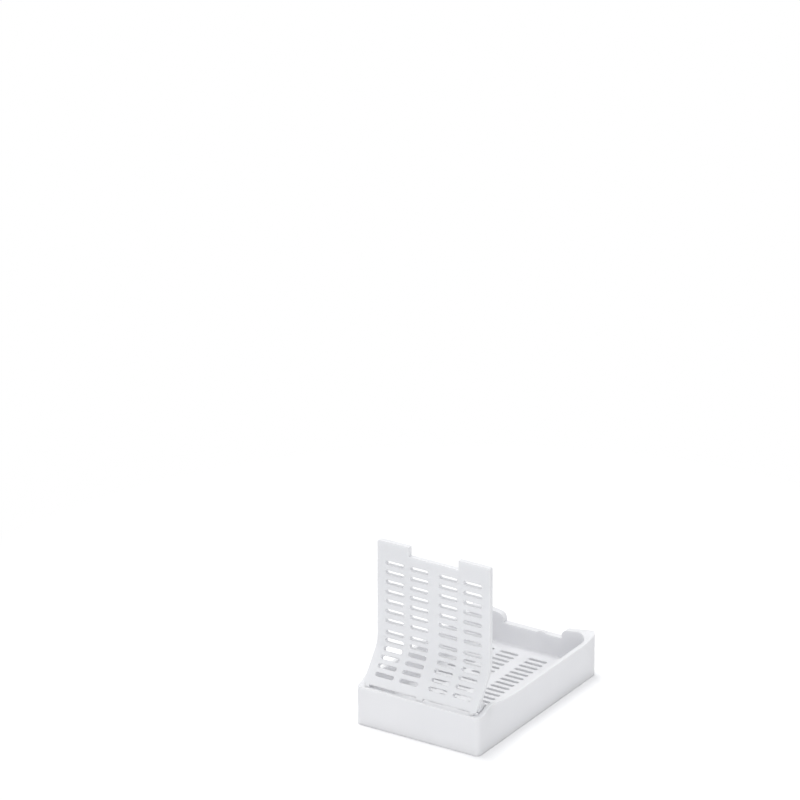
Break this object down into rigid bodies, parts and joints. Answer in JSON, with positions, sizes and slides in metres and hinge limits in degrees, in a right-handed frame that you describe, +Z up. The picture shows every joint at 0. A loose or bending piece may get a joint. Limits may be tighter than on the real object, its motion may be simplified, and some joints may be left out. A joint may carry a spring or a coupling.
{
  "type": "tissue cassette",
  "caption": "Slotted rectangular tray with vertical walls and rounded rear ears, and a slotted lid with a curved foot that stands open on two hinge pins at the front.",
  "frame": {"origin": "centre of the tray's footprint, on the plane of its underside", "axes": "+Z up from the tray's underside, +Y along the length from the front wall with the hinge to the rear wall, +X across the width"},
  "size_m": [0.0286, 0.045, 0.038],
  "materials": {
    "tray_plastic": "satin moulded acetal, slightly cool white",
    "lid_plastic": "satin moulded acetal, slightly cool white"
  },
  "bodies": {
    "tray": {"base_tray": "tray_plastic"},
    "lid": {"lid": "lid_plastic"}
  },
  "joints": [
    {"name": "lid_hinge", "type": "hinge", "parent": "tray", "child": "lid", "pos_m": [0, -0.018, 0.008], "axis": [-1, 0, 0], "range_deg": [0, 90]}
  ]
}
